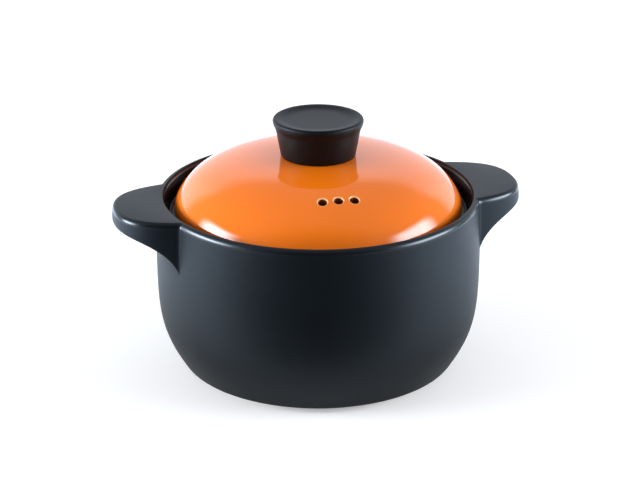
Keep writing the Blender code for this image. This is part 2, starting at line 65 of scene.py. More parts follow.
FOCAL_LENGTH = 111.22

# Pot, as in the CAD model
BODY_RADIUS = 0.1090
RIM_HEIGHT = 0.1195
RIM_TAPER = 0.0012
BELLY_HEIGHT = 0.0780
BELLY_LEAD = 0.0409
CORNER_WIDTH = 0.0155
CORNER_LEAD = 0.0267
CORNER_SLOPE = 58
FOOT_HEIGHT = 0.0034
FOOT_RADIUS = 0.0860
FOOT_WIDTH = 0.0082
FOOT_ROUND = 0.0011
BODY_LIP = 0.0014
BASE_RECESS = 0.0026
WALL = 0.0080
FLOOR_THICKNESS = 0.0076
INNER_CORNER_WIDTH = 0.029
INNER_CORNER_HEIGHT = 0.058
RIM_WALL = 0.0040
RIM_CREST = 0.0002
RIM_OUTER_ROUND = 0.0032
RIM_OUTER_DROP = 0.0050
RIM_INNER_ROUND = 0.0006
GALLERY_DEPTH = 0.0127
GALLERY_TAPER = 0.0038
SHELF_WIDTH = 0.0120
SHELF_THICKNESS = 0.0060
SHELF_CORBEL = 0.0130
SHELF_ROUND = 0.0010
LUG_PROJECTION = 0.0300
LUG_HALF_WIDTH = 0.0403
LUG_START = 0.0107
LUG_SIDE_RUN = 0.0290
LUG_SIDE_TAPER = 0.0053
LUG_TIP_BLUNTNESS = 0.0240
LUG_CREASE = 0.0018
LUG_ROOT_DEPTH = 0.0355
LUG_OUTER_DROP = 0.0042
LUG_TIP_DEPTH = 0.0105
LUG_ROOT_RISE = 0.0115
LUG_ROOT_LEAN = 0.0030
LUG_TIP_RUN = 0.0168
LUG_TIP_FALL = 0.0050
LUG_LOWER_ROUND = 0.0030
LUG_ROUND_SHARE = 0.42
LUG_LEAST_CURVE = 0.12

# Lid, as in the CAD model
SEAT_GAP = 0.0003
LID_EDGE_GAP = 0.0037
LID_RISE = 0.0386
LID_EDGE_HEIGHT = 0.0044
LID_EDGE_ROUND = 0.0040
DOME_SINK = 0.0010
DOME_PLAN_POWER = 3.40
DOME_RISE_POWER = 1.87
LID_WALL = 0.0055
SKIRT_GAP = 0.0015
SKIRT_DEPTH = 0.0076
SKIRT_WIDTH = 0.0045
LID_BOSS_THICKNESS = 0.0075
LID_BOSS_RADIUS = 0.0120
LID_HOLE_RADIUS = 0.0040
LID_TURN = -2.4
VENT_COUNT = 3
VENT_RADIUS = 0.0030
VENT_SPACING = 0.0103
VENT_DISTANCE = 0.0694

# Knob, as in the CAD model
KNOB_HEIGHT = 0.0255
KNOB_FOOT_RADIUS = 0.0248
KNOB_NECK_RADIUS = 0.0281
KNOB_NECK_HEIGHT = 0.0176
KNOB_LIP_RADIUS = 0.0301
KNOB_LIP_HEIGHT = 0.0235
KNOB_CREST_RADIUS = 0.0285
DISH_RADIUS = 0.0185
DISH_DEPTH = 0.0016
DISH_LEAD = 0.6
CREST_LEAD = 0.3
LIP_LEAD = 0.35
NECK_EASE = 0.25
KNOB_WALL = 0.0036
KNOB_ROOF = 0.0045
KNOB_BOSS_RADIUS = 0.0085
KNOB_RIB_COUNT = 6
KNOB_RIB_WIDTH = 0.0024
GASKET_THICKNESS = 0.0015
INSERT_RADIUS = 0.0045
INSERT_LENGTH = 0.0120

# What only shows here. An ease is how far from its corner a rounding starts
GLAZE_START = 0.0030            # inside glaze, below the rim's crest
GLAZE_THICKNESS = 0.00015
GLAZE_WANDER = 0.00025          # how far its edge strays
GLAZE_WAVES = (                 # waves in one turn, phase, share of how far it strays
    (3, 0.4, 0.3),
    (7, 1.9, 0.3),
    (13, 0.7, 0.2),
    (29, 2.6, 0.2),
)
SHINE_START = (0.0038, 0.0030)  # depths below the rim's top between which its edge gets shiny
SHINE_END = (0.0016, 0.0010)    # and between which it gets matt again
CORBEL_EASE = 0.0060
GALLERY_EASE = 0.0012
FOOT_EASE = 0.0009
LID_EDGE_LEAD = 0.0024          # the dome starts to turn over this far inside the edge
LID_EDGE_LOW = 0.0026           # height where the edge stands upright
LID_EDGE_SAMPLES = 100          # the dome's fall is taken over the lead divided by this
REST_EDGE = 0.0003              # strips at both edges of the resting face
SKIRT_EASE = 0.0014
BOSS_EASE = 0.0020
SEAT_EASE = 0.0012
HOLE_EASE = 0.0004
VENT_LIP = 0.0007               # rounded edge of a vent
VENT_RING = 0.00015             # glaze that has gathered round a vent
VENT_RING_WIDTH = 0.0007
VENT_PATCH = 0.0068             # the dome is meshed afresh this far round a vent
VENT_MARGIN = 0.0007            # least distance from a vent's rings to the dome's own corners
DOME_INNER = 0.0400             # the dome's own normals are set outside this radius
DOME_SMALL = 0.00001            # step over which the dome's slope is taken
DOME_NEAR = 0.000001            # a corner this near to the dome lies on it
PLAN_TOLERANCE = 1e-9           # corners this close together in plan are one
PLAN_INSIDE = 1                 # asks for triangles inside the edges
SLIVER_AREA = 1e-10             # twice the area under which a triangle is left out
KNOB_FOOT_EASE = 0.0004
KNOB_SHARP_ANGLE = 40           # edges sharper than this are shaded as edges
ROUND_HANDLE = 0.55             # handles of this share make a curve nearly a quarter circle
TURNING_PITCH = 0.0002          # of the fine rings on turned metal
NOISE_SPREAD = (0.3, 0.7)       # most of a noise's values lie between these

# Fineness of the meshes
LUG_COLUMNS = 40
PLAIN_COLUMNS = 36
LID_COLUMNS = 320
KNOB_COLUMNS = 144
BORE_COLUMNS = 64
VENT_COLUMNS = 48
CORNER_STEPS = 36
DOME_STEPS = 56
EASE_STEPS = 6
ROUND_STEPS = 10
PATH_STEPS = 48
UNDERSIDE_STEPS = 16
WALL_STEPS = 4
LIP_STEPS = 10
POCKET_STEPS = 12
SOLVE_STEPS = 50

# Studio, with bearings as in bearing() below. Seen directly, a strength of 1 is white
DAYLIGHT = (0.92, 0.99, 1.10)
WHITE = (1.0, 1.0, 1.0)
LAMP_DISTANCE = 2.4
LAMPS = (                       # name, azimuth, elevation, degrees wide and high, radiance, core
    ("lamp_left", 187, 13.5, 52, 27, 29, 0.15),
    ("lamp_right", -7, 17, 52, 30, 14.5, 0.32),
)
STUDIO_LIGHT = 0.525            # all round
STUDIO_DARK = 0.12              # behind the camera
STUDIO_BACK = 1.38              # on the backdrop, low behind the pot
STUDIO_WINGS = 0.48             # added at the backdrop's left and right
DARK_ELEVATION = 30
BACK_TOP = (0.50, 0.68)         # the backdrop fades out between these sines of the elevation
BACK_SIDE = (0.54, 0.72)        # it sets in between these cosines of the angle off its middle
WINGS = (0.38, 0.62)            # and so do its left and right
DARK_SIDE = (0.60, 0.99)        # and the dark side
FLOOR_RADIUS = 9.0
FLOOR_TOP = -0.0002
FLOOR_BOTTOM = -0.01
FLOOR_COLUMNS = 128
FLOOR_LIFT = 0.34               # brings the floor to white for the camera
FLOOR_FAR = (0.9, 2.4)          # between these radii that grows to 1
# glossy surfaces see the floor as a bluish glow, a painted reflection, weaker near the pot as painted
# shade
FLOOR_MIRRORED_LIFT = 1.1
FLOOR_DIM = (0.14, 0.33)        # the mirrored lift sets in between these radii
MIRRORED_TINT = (0.78, 1.02, 1.35)
FLAG_NEAR = 0.16                # from the pot's middle to the dark card's near edge
FLAG_FAR = 3.2                  # and to its far edge
FLAG_WIDTH = 0.7                # of the near edge
FLAG_FAR_WIDTH = 3.0
FLAG_HEIGHT = 0.001

# Sizes that follow from the ones above
RIM_OUTER = BODY_RADIUS - RIM_TAPER
RIM_INNER = RIM_OUTER - RIM_WALL
SHELF_HEIGHT = RIM_HEIGHT - GALLERY_DEPTH
SHELF_OUTER = RIM_INNER - GALLERY_TAPER
SHELF_INNER = SHELF_OUTER - SHELF_WIDTH
LID_RADIUS = SHELF_OUTER - LID_EDGE_GAP
SKIRT_OUTER = SHELF_INNER - SKIRT_GAP
SKIRT_INNER = SKIRT_OUTER - SKIRT_WIDTH
LID_REST = SHELF_HEIGHT + SEAT_GAP
DOME_HEIGHT = LID_RISE + DOME_SINK

# Finishes, as places in the lists of materials: the pot's, then the lid's
MATT, GLAZE, CLAY = 0, 1, 2
# the bores' dark red-brown is darkened as painted shade inside them
ORANGE, BROWN, THIN = 0, 1, 3   # the lid's bores are brown


# Curves and sections: a section is a list of (radius, height), or (radius, height, finish)


def bezier(start, start_handle, end_handle, end, t):
    """Point at t, from 0 to 1, on a cubic curve in the plane."""
    s = 1 - t
    weights = (s * s * s, 3 * s * s * t, 3 * s * t * t, t * t * t)
    corners = (start, start_handle, end_handle, end)
    return tuple(sum(w * c[axis] for w, c in zip(weights, corners)) for axis in range(2))


def curve(corners, steps, first=0):
    """Points at even shares of a cubic curve, from the first of its steps on."""
    return [bezier(*corners, i / steps) for i in range(first, steps + 1)]


def solve(function, target, low, high):
    """Argument between low and high at which a rising function reaches the target."""
    for _ in range(SOLVE_STEPS):
        middle = (low + high) / 2
        if function(middle) < target:
            low = middle
        else:
            high = middle
    return (low + high) / 2


def quarter(centre, width, height, start, end, steps):
    """Points on an ellipse's arc about a centre, between two angles."""
    points = []
    for i in range(steps + 1):
        angle = math.radians(start + (end - start) * i / steps)
        points.append((centre[0] + width * math.cos(angle), centre[1] + height * math.sin(angle)))
    return points


def along(path, distance):
    """Point at a distance along an open path."""
    for a, b in zip(path, path[1:]):
        length = math.dist(a, b)
        if distance <= length and length > 0:
            t = distance / length
            return (a[0] + (b[0] - a[0]) * t, a[1] + (b[1] - a[1]) * t)
        distance -= length
    return path[-1]


def towards(start, end, distance):
    """Point at a distance from the start, on the way to the end."""
    length = math.dist(start, end)
    return tuple(a + (b - a) * distance / length for a, b in zip(start, end))


def rounded(corners, steps=EASE_STEPS):
    """Path through corners (radius, height, ease), each rounded from its ease before to its ease
    after. The first and last stay as they are."""
    path = [corners[0][:2]]
    for before, corner, after in zip(corners, corners[1:], corners[2:]):
        here = corner[:2]
        ease = corner[2]
        if ease == 0:
            path.append(here)
            continue
        start = towards(here, before[:2], ease)
        end = towards(here, after[:2], ease)
        start_handle = towards(start, here, ease * ROUND_HANDLE)
        end_handle = towards(end, here, ease * ROUND_HANDLE)
        path += curve((start, start_handle, end_handle, end), steps)
    path.append(corners[-1][:2])
    return path


def finished(path, finish):
    """Path whose faces after each point have one finish."""
    return [(radius, height, finish) for radius, height in path]


# Meshes


def add_object(name, data):
    """New object in the scene."""
    thing = bpy.data.objects.new(name, data)
    bpy.context.scene.collection.objects.link(thing)
    return thing


def add_piece(name, mesh, materials):
    """Smooth object with its materials, in the order of its faces' finishes."""
    mesh.shade_smooth()
    for material in materials:
        mesh.materials.append(material)
    return add_object(name, mesh)


def column_faces(work, columns, azimuths, base, ring=False):
    """Add one section per azimuth, and return the rows of corners and the faces between them."""
    grid = []
    for azimuth, section in zip(azimuths, columns):
        x = math.cos(azimuth)
        y = math.sin(azimuth)
        grid.append([work.verts.new((p[0] * x, p[0] * y, base + p[1])) for p in section])
    count = len(columns[0])
    faces = []
    for left, right, section in zip(grid, grid[1:] + grid[:1], columns):
        for i in range(count if ring else count - 1):
            j = (i + 1) % count
            face = work.faces.new((left[i], left[j], right[j], right[i]))
            face.material_index = section[i][2] if len(section[i]) > 2 else 0
            faces.append(face)
    return grid, faces


def turned_mesh(name, section, count, base, ring=False):
    """Mesh turned from one section about the Z axis, with flat ends unless it is a ring."""
    work = bmesh.new()
    azimuths = [2 * math.pi * i / count for i in range(count)]
    grid, _ = column_faces(work, [section] * count, azimuths, base, ring)
    if not ring:
        work.faces.new([column[0] for column in grid])
        work.faces.new([column[-1] for column in grid])
    return to_mesh(work, name)


def join(work, loops, finish):
    """Faces between loops of as many corners each."""
    for outer, inner in zip(loops, loops[1:]):
        for i in range(len(outer)):
            j = (i + 1) % len(outer)
            work.faces.new((outer[i], outer[j], inner[j], inner[i])).material_index = finish


def to_mesh(work, name):
    """Turn the work into a mesh whose faces look outwards."""
    bmesh.ops.recalc_face_normals(work, faces=work.faces)
    mesh = bpy.data.meshes.new(name)
    work.to_mesh(mesh)
    work.free()
    return mesh


def prism_mesh(name, outlines):
    """Solid through outlines that each give the same number of points, at rising heights."""
    work = bmesh.new()
    rings = [[work.verts.new(point) for point in outline] for outline in outlines]
    join(work, rings, 0)
    work.faces.new(rings[0])
    work.faces.new(rings[-1])
    return to_mesh(work, name)


def cut(piece, meshes):
    """Subtract meshes from a piece for good."""
    cutters = []
    for mesh in meshes:
        cutter = add_object("cutter", mesh)
        modifier = piece.modifiers.new("cut", "BOOLEAN")
        modifier.operation = "DIFFERENCE"
        modifier.object = cutter
        cutters.append(cutter)
    bpy.context.view_layer.update()
    whole = piece.evaluated_get(bpy.context.evaluated_depsgraph_get())
    mesh = bpy.data.meshes.new_from_object(whole)
    piece.modifiers.clear()
    old = piece.data
    piece.data = mesh
    bpy.data.meshes.remove(old)
    for cutter in cutters:
        old = cutter.data
        bpy.data.objects.remove(cutter)
        bpy.data.meshes.remove(old)


# Pot


def lug_plan(t):
    """Point of a lug's outline in plan, from inside the wall at 0 to the tip at 1."""
    start = (RIM_OUTER - LUG_START, LUG_HALF_WIDTH)
    side = (start[0] + LUG_SIDE_RUN, start[1] - LUG_SIDE_TAPER)
    reach = RIM_OUTER + LUG_PROJECTION
    return bezier(start, side, (reach, LUG_TIP_BLUNTNESS), (reach, 0), t)


def lug_standout(t):
    """How far the outline stands out from the wall, below 0 inside it."""
    return math.hypot(*lug_plan(t)) - RIM_OUTER


def wall_azimuths():
    """Azimuth and lug projection of each column of the pot, all the way round."""
    first = solve(lug_standout, -LUG_CREASE, 0, 1)
    quarter_turn = []
    for i in range(LUG_COLUMNS + 1):
        t = 1 + (first - 1) * math.sin(math.pi / 2 * i / LUG_COLUMNS)
        x, y = lug_plan(t)
        standout = lug_standout(t)
        if standout < LUG_CREASE:
            standout = (standout + LUG_CREASE) ** 2 / (4 * LUG_CREASE)
        quarter_turn.append((math.atan2(y, x), standout))
    side_end = quarter_turn[-1][0]
    for i in range(1, PLAIN_COLUMNS + 1):
        quarter_turn.append((side_end + (math.pi / 2 - side_end) * i / PLAIN_COLUMNS, 0.0))
    half_turn = quarter_turn + [(math.pi - a, p) for a, p in reversed(quarter_turn[:-1])]
    return half_turn + [(2 * math.pi - a, p) for a, p in reversed(half_turn[1:-1])]


def wall_radius(height):
    """Outside of the wall from its widest line up."""
    share = (height - BELLY_HEIGHT) / (RIM_HEIGHT - BELLY_HEIGHT)
    return BODY_RADIUS - RIM_TAPER * share * share


def lug_underside(t):
    """Distance from the wall and depth below the rim, from the wall at 0 to the tip at 1."""
    root = (0, LUG_ROOT_DEPTH)
    rise = (LUG_ROOT_LEAN, LUG_ROOT_DEPTH - LUG_ROOT_RISE)
    tip = (LUG_PROJECTION, LUG_TIP_DEPTH)
    flat = (LUG_PROJECTION - LUG_TIP_RUN, LUG_TIP_DEPTH + LUG_TIP_FALL)
    return bezier(root, rise, flat, tip, t)


def glaze_edge(azimuth):
    """How far the inside glaze's edge is off its mean height, all round."""
    return GLAZE_WANDER * sum(size * math.sin(n * azimuth + phase) for n, phase, size in GLAZE_WAVES)


def pot_inside(azimuth):
    """Section from the floor's edge up to the inner edge of the rim."""
    inner = BODY_RADIUS - WALL
    floor = BASE_RECESS + FLOOR_THICKNESS
    corner = (inner - INNER_CORNER_WIDTH, INNER_CORNER_HEIGHT)
    bowl = quarter(corner, INNER_CORNER_WIDTH, INNER_CORNER_HEIGHT - floor, -90, 0, CORNER_STEPS)
    section = finished(bowl[:-1], GLAZE)
    shelf_under = SHELF_HEIGHT - SHELF_THICKNESS
    corners = [(inner, INNER_CORNER_HEIGHT, 0), (inner, shelf_under - SHELF_CORBEL, CORBEL_EASE)]
    corners += [(SHELF_INNER, shelf_under, SHELF_ROUND), (SHELF_INNER, SHELF_HEIGHT, SHELF_ROUND)]
    corners.append((SHELF_INNER + 2 * SHELF_ROUND, SHELF_HEIGHT, 0))
    section += finished(rounded(corners), GLAZE)
    drop = GLAZE_START + glaze_edge(azimuth)
    lean = GALLERY_TAPER / GALLERY_DEPTH
    edge = (RIM_INNER - drop * lean, RIM_HEIGHT - drop)
    section[-1] = (*section[-1][:2], CLAY)
    corners = [(SHELF_OUTER - 2 * GALLERY_EASE, SHELF_HEIGHT, 0)]
    corners += [(SHELF_OUTER, SHELF_HEIGHT, GALLERY_EASE), (*edge, 0)]
    section += finished(rounded(corners), GLAZE)
    section.append((edge[0] + GLAZE_THICKNESS, edge[1] + GLAZE_THICKNESS, MATT))
    rim = [(RIM_INNER, RIM_HEIGHT - 2 * RIM_INNER_ROUND, 0), (RIM_INNER, RIM_HEIGHT, RIM_INNER_ROUND)]
    rim.append((RIM_INNER + RIM_INNER_ROUND, RIM_HEIGHT, 0))
    section += finished(rounded(rim)[:-1], MATT)
    return section


def pot_outside(projection, slant):
    """Section from the rim's top down to the widest line, where the wall or a lug stands out by
    projection. slant widens the round where the edge runs at an angle."""
    drop = RIM_OUTER_DROP + (LUG_OUTER_DROP - RIM_OUTER_DROP) * projection / LUG_PROJECTION
    side = wall_radius(RIM_HEIGHT - drop) + projection
    room = side - RIM_INNER - RIM_INNER_ROUND - RIM_CREST
    width = min(RIM_OUTER_ROUND * slant, room)
    turn = (side - width, RIM_HEIGHT - drop)
    section = quarter(turn, width, drop, 90, 0, ROUND_STEPS)

    end = max(LUG_LEAST_CURVE, solve(lambda t: lug_underside(t)[0], projection, 0, 1))
    stretch = projection / lug_underside(end)[0]
    path = []
    for i in range(PATH_STEPS + 1):
        out, depth = lug_underside(end * (1 - i / PATH_STEPS))
        path.append((wall_radius(RIM_HEIGHT - depth) + out * stretch, RIM_HEIGHT - depth))
    corner = path[0]
    length = sum(math.dist(a, b) for a, b in zip(path, path[1:]))
    small = min(LUG_LOWER_ROUND, (turn[1] - corner[1]) * LUG_ROUND_SHARE, length * LUG_ROUND_SHARE)
    above = (wall_radius(corner[1] + small) + projection, corner[1] + small)
    below = along(path, small)
    middle = (turn[1] + above[1]) / 2
    section.append((wall_radius(middle) + projection, middle))
    section += curve((above, corner, corner, below), EASE_STEPS)
    for i in range(1, UNDERSIDE_STEPS + 1):
        section.append(along(path, small + (length - small) * i / UNDERSIDE_STEPS))
    root = RIM_HEIGHT - LUG_ROOT_DEPTH
    for i in range(1, WALL_STEPS + 1):
        height = root + (BELLY_HEIGHT - root) * i / WALL_STEPS
        section.append((wall_radius(height), height))
    return finished(section, MATT)


def pot_foot():
    """Section from below the widest line, round the corner and under the standing ring."""
    belly = (BODY_RADIUS, BELLY_HEIGHT)
    below = (BODY_RADIUS, BELLY_HEIGHT - BELLY_LEAD)
    low = (BODY_RADIUS - CORNER_WIDTH, FOOT_HEIGHT + BODY_LIP)
    slope = math.radians(CORNER_SLOPE)
    above = (low[0] + CORNER_LEAD * math.cos(slope), low[1] + CORNER_LEAD * math.sin(slope))
    corner = curve((belly, below, above, low), CORNER_STEPS)
    section = finished(corner[1:-1], MATT)
    lip = (low[0] - BODY_LIP, FOOT_HEIGHT, FOOT_EASE)
    root = (FOOT_RADIUS, FOOT_HEIGHT - BODY_LIP, FOOT_EASE)
    lower = [(*corner[-2], 0), (*low, FOOT_EASE), lip, root]
    lower += [(FOOT_RADIUS, 0, FOOT_ROUND), (FOOT_RADIUS - 2 * FOOT_ROUND, 0, 0)]
    path = rounded(lower)[1:]
    section += finished(path[: 2 * EASE_STEPS + 2], MATT)
    section += finished(path[2 * EASE_STEPS + 2:], CLAY)
    inner = FOOT_RADIUS - FOOT_WIDTH
    under = [(inner + 2 * FOOT_ROUND, 0, 0), (inner, 0, FOOT_ROUND), (inner, BASE_RECESS, FOOT_ROUND)]
    under.append((inner - 2 * FOOT_ROUND, BASE_RECESS, 0))
    return section + finished(rounded(under), CLAY)


def make_pot(materials):
    """Pot with its lugs, one section per column."""
    columns = []
    azimuths = wall_azimuths()
    foot = pot_foot()
    for i, (azimuth, projection) in enumerate(azimuths):
        before = azimuths[i - 1]
        after = azimuths[(i + 1) % len(azimuths)]
        turn = (after[0] - before[0]) % (2 * math.pi)
        slope = (after[1] - before[1]) / (turn * (RIM_OUTER + projection))
        outside = pot_outside(projection, math.hypot(1, slope))
        columns.append(pot_inside(azimuth) + outside + foot)
    work = bmesh.new()
    grid, _ = column_faces(work, columns, [azimuth for azimuth, _ in azimuths], 0)
    work.faces.new([column[0] for column in grid]).material_index = GLAZE
    work.faces.new([column[-1] for column in grid]).material_index = CLAY
    return add_piece("pot_shell", to_mesh(work, "pot_shell"), materials)


# Lid, with heights above the face that rests on the shelf


def dome_plan_radius():
    """Radius at which the dome's curve would stand upright."""
    share = ((LID_EDGE_HEIGHT + DOME_SINK) / DOME_HEIGHT) ** DOME_RISE_POWER
    return LID_RADIUS / (1 - share) ** (1 / DOME_PLAN_POWER)


def dome_height(radius, inset=0.0):
    """Height of the dome at a radius, outside, or inside with the wall as inset."""
    share = (radius / (dome_plan_radius() - inset)) ** DOME_PLAN_POWER
    return (DOME_HEIGHT - inset) * (1 - share) ** (1 / DOME_RISE_POWER) - DOME_SINK


def knob_seat_height():
    """Height at which the dome is levelled under the knob."""
    return dome_height(KNOB_FOOT_RADIUS)


def dome_section(inner, outer, steps, inset=0.0):
    """Dome between two radii, closer together towards the steep edge."""
    section = []
    for i in range(steps + 1):
        share = math.sin(math.pi / 2 * i / steps)
        radius = inner + (outer - inner) * share
        section.append((radius, dome_height(radius, inset)))
    return section


def lid_top():
    """Section from the screw's hole over the dome and round its edge to the resting face."""
    seat = knob_seat_height()
    start = KNOB_FOOT_RADIUS + SEAT_EASE
    middle = [(LID_HOLE_RADIUS, seat - 2 * HOLE_EASE, 0), (LID_HOLE_RADIUS, seat, HOLE_EASE)]
    middle += [(KNOB_FOOT_RADIUS, seat, SEAT_EASE), (start, dome_height(start), 0)]
    section = rounded(middle)[:-1]
    turn = LID_RADIUS - LID_EDGE_LEAD
    section += dome_section(start, turn, DOME_STEPS)
    end = section[-1]
    small = LID_EDGE_LEAD / LID_EDGE_SAMPLES
    fall = (dome_height(turn - small) - dome_height(turn)) / small
    steep = math.hypot(1, fall)
    upright = (LID_RADIUS, LID_EDGE_LOW)
    lead = math.dist(end, upright) * ROUND_HANDLE / steep
    handles = ((end[0] + lead, end[1] - lead * fall), (LID_RADIUS, LID_EDGE_LOW + lead * steep))
    section += curve((end, *handles, upright), EASE_STEPS, 1)
    centre = (LID_RADIUS - LID_EDGE_ROUND, LID_EDGE_LOW)
    return section + quarter(centre, LID_EDGE_ROUND, LID_EDGE_LOW, 0, -90, ROUND_STEPS)[1:]


def lid_under():
    """Section from the resting face, round the skirt and along the inside back to the hole."""
    corners = [(LID_RADIUS - LID_EDGE_ROUND - REST_EDGE, 0, 0), (SKIRT_OUTER, 0, REST_EDGE)]
    corners += [(SKIRT_OUTER, -SKIRT_DEPTH, SKIRT_EASE), (SKIRT_INNER, -SKIRT_DEPTH, SKIRT_EASE)]
    seat = knob_seat_height()
    under = seat - LID_BOSS_THICKNESS
    fall = dome_height(LID_BOSS_RADIUS, LID_WALL) - under
    start = LID_BOSS_RADIUS + fall
    inside = list(reversed(dome_section(start, SKIRT_INNER - SKIRT_EASE, DOME_STEPS, LID_WALL)))
    corners += [(SKIRT_INNER, dome_height(SKIRT_INNER, LID_WALL), SKIRT_EASE), (*inside[0], 0)]
    section = rounded(corners)[:-1] + inside[:-1]
    boss = [(*inside[-1], 0), (LID_BOSS_RADIUS, under, BOSS_EASE)]
    boss += [(LID_HOLE_RADIUS, under, HOLE_EASE), (LID_HOLE_RADIUS, under + 2 * HOLE_EASE, 0)]
    return section + rounded(boss)


def vent_places():
    """Middle of each vent on the dome, in plan."""
    first = -(VENT_COUNT - 1) / 2 * VENT_SPACING
    return [Vector((first + i * VENT_SPACING, -VENT_DISTANCE)) for i in range(VENT_COUNT)]


def vent_rings(inset):
    """Radius, and rise above the dome's face, of rings from outside a vent's lip into its bore."""
    rings = []
    outer = VENT_RADIUS + VENT_LIP
    for i in range(EASE_STEPS + 1):
        share = 1 - i / EASE_STEPS
        rise = VENT_RING * (1 + math.cos(math.pi * share)) / 2
        rings.append((outer + VENT_RING_WIDTH * share, rise))
    for i in range(1, EASE_STEPS + 1):
        angle = math.pi / 2 * i / EASE_STEPS
        radius = outer - VENT_LIP * math.sin(angle)
        rings.append((radius, VENT_RING - VENT_LIP * (1 - math.cos(angle))))
    side = -1 if inset else 1
    return [(radius, side * rise) for radius, rise in rings]


def encloses(outline, spot):
    """Whether a spot in plan lies inside an outline of edges (start, end)."""
    inside = False
    for a, b in outline:
        if (a.y > spot.y) != (b.y > spot.y):
            inside ^= spot.x < a.x + (b.x - a.x) * (spot.y - a.y) / (b.y - a.y)
    return inside


def open_vents(work, faces, inset):
    """Mesh one face of the dome afresh round the vents, and return the mouths of their bores."""
    places = vent_places()
    rings = vent_rings(inset)
    outer = rings[0][0]

    def off_vents(spot):
        """Distance from a spot in plan to the nearest vent's middle."""
        return min((spot - place).length for place in places)

    doomed = [face for face in faces if off_vents(face.calc_center_median().xy) < VENT_PATCH]
    patch = set(doomed)
    edges = [e for f in doomed for e in f.edges if sum(g in patch for g in e.link_faces) == 1]
    outline = [(edge.verts[0].co.xy, edge.verts[1].co.xy) for edge in edges]
    corners = list(dict.fromkeys(corner for edge in edges for corner in edge.verts))
    keep = set(corners)
    places_of = {corner: i for i, corner in enumerate(corners)}
    constraints = [tuple(places_of[corner] for corner in edge.verts) for edge in edges]
    inner_spots = []
    for corner in dict.fromkeys(corner for face in doomed for corner in face.verts):
        if corner not in keep and off_vents(corner.co.xy) - outer > VENT_MARGIN:
            inner_spots.append(corner.co.copy())
    bmesh.ops.delete(work, geom=doomed, context="FACES_ONLY")
    loose = [e for e in work.edges if not e.link_faces]
    bmesh.ops.delete(work, geom=loose, context="EDGES")
    lone = [v for v in work.verts if not v.link_edges and v not in keep]
    bmesh.ops.delete(work, geom=lone, context="VERTS")
    corners += [work.verts.new(spot) for spot in inner_spots]
    points = [corner.co.xy for corner in corners]

    mouths = []
    for place in places:
        loops = []
        for radius, rise in rings:
            loop = []
            for i in range(VENT_COLUMNS):
                angle = 2 * math.pi * i / VENT_COLUMNS
                spot = place + Vector((math.cos(angle), math.sin(angle))) * radius
                height = dome_height(spot.length, inset) + rise
                loop.append(work.verts.new((spot.x, spot.y, height)))
            loops.append(loop)
        first = len(corners)
        corners += loops[0]
        points += [corner.co.xy for corner in loops[0]]
        constraints += [(first + i, first + (i + 1) % VENT_COLUMNS) for i in range(VENT_COLUMNS)]
        join(work, loops[: EASE_STEPS + 1], ORANGE)
        join(work, loops[EASE_STEPS:], THIN)
        mouths.append(loops[-1])
    opening = outer * math.cos(math.pi / VENT_COLUMNS)
    result = delaunay_2d_cdt(points, constraints, [], PLAN_INSIDE, PLAN_TOLERANCE, True)
    triangles, origins = result[2:4]
    for triangle in triangles:
        three = [corners[origins[i][0]] for i in triangle]
        a, b, c = (corner.co.xy for corner in three)
        middle = (a + b + c) / 3
        in_line = abs((b - a).cross(c - a)) < SLIVER_AREA
        if encloses(outline, middle) and off_vents(middle) >= opening and not in_line:
            work.faces.new(three).material_index = ORANGE
    return mouths


def dome_slope(radius, inset=0.0):
    """Fall of the dome per length outwards."""
    before = dome_height(radius - DOME_SMALL, inset)
    return (before - dome_height(radius + DOME_SMALL, inset)) / (2 * DOME_SMALL)


def set_dome_normals(mesh):
    """Give every corner that lies on the dome, outside or inside, the dome's own normal."""
    normals = []
    for corner in mesh.vertices:
        radius = corner.co.xy.length
        height = corner.co.z - LID_REST
        normal = (0, 0, 0)
        for inset, side in ((0, 1), (LID_WALL, -1)):
            if DOME_INNER < radius < SKIRT_INNER - SKIRT_EASE * 2:
                if abs(height - dome_height(radius, inset)) < DOME_NEAR:
                    out = corner.co.xy / radius * dome_slope(radius, inset)
                    normal = Vector((out.x, out.y, 1)).normalized() * side
        normals.append(normal)
    mesh.normals_split_custom_set_from_vertices(normals)


def make_lid(materials):
    """Lid, turned from one section and then opened for its vents."""
    top = lid_top()
    under = lid_under()
    section = finished(top[:-1], ORANGE) + finished(top[-1:], CLAY) + finished(under[:2], CLAY)
    section += finished(under[2:-1], ORANGE) + finished(under[-1:], CLAY)
    work = bmesh.new()
    azimuths = [2 * math.pi * i / LID_COLUMNS for i in range(LID_COLUMNS)]
    _, faces = column_faces(work, [section] * LID_COLUMNS, azimuths, 0, ring=True)
    count = len(section)
    outside = [face for i, face in enumerate(faces) if i % count < len(top) - 1]
    inside = [face for i, face in enumerate(faces) if len(top) <= i % count < count - 1]
    upper = open_vents(work, outside, 0)
    lower = open_vents(work, inside, LID_WALL)
    for above, below in zip(upper, lower):
        join(work, [above, below], BROWN)
    turn = Matrix.Rotation(math.radians(LID_TURN), 4, "Z")
    bmesh.ops.transform(work, matrix=Matrix.Translation((0, 0, LID_REST)) @ turn, verts=work.verts)
    mesh = to_mesh(work, "lid_shell")
    lid = add_piece("lid_shell", mesh, materials)
    set_dome_normals(mesh)
    return lid


# Knob, with heights above its foot


